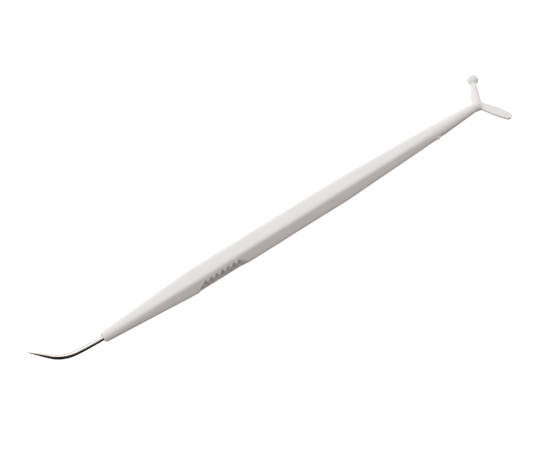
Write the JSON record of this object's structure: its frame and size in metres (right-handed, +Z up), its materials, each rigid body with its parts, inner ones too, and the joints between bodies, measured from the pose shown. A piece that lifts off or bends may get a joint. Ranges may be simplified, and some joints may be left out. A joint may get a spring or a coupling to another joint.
{
  "type": "dental explorer",
  "caption": "Dental hand instrument: curved steel probe, hexagonal white plastic handle with a grooved finger rest, and a forked plastic end with a ball and a paddle.",
  "frame": {"origin": "on the surface that the handle rests on, straight under its axis, at the middle of the finger grip's flat underside", "axes": "+X along the handle from the steel probe to the fork, +Y towards the fork's ball and the probe's point, +Z up"},
  "size_m": [0.1658, 0.0198, 0.0074],
  "materials": {
    "handle_plastic": "white moulded plastic with a satin surface and soft edges",
    "probe_steel": "polished stainless steel wire",
    "fork_plastic": "white moulded plastic with a satin surface"
  },
  "bodies": {
    "root": {"handle": "handle_plastic", "steel_probe": "probe_steel", "fork_end": "fork_plastic"}
  },
  "joints": []
}
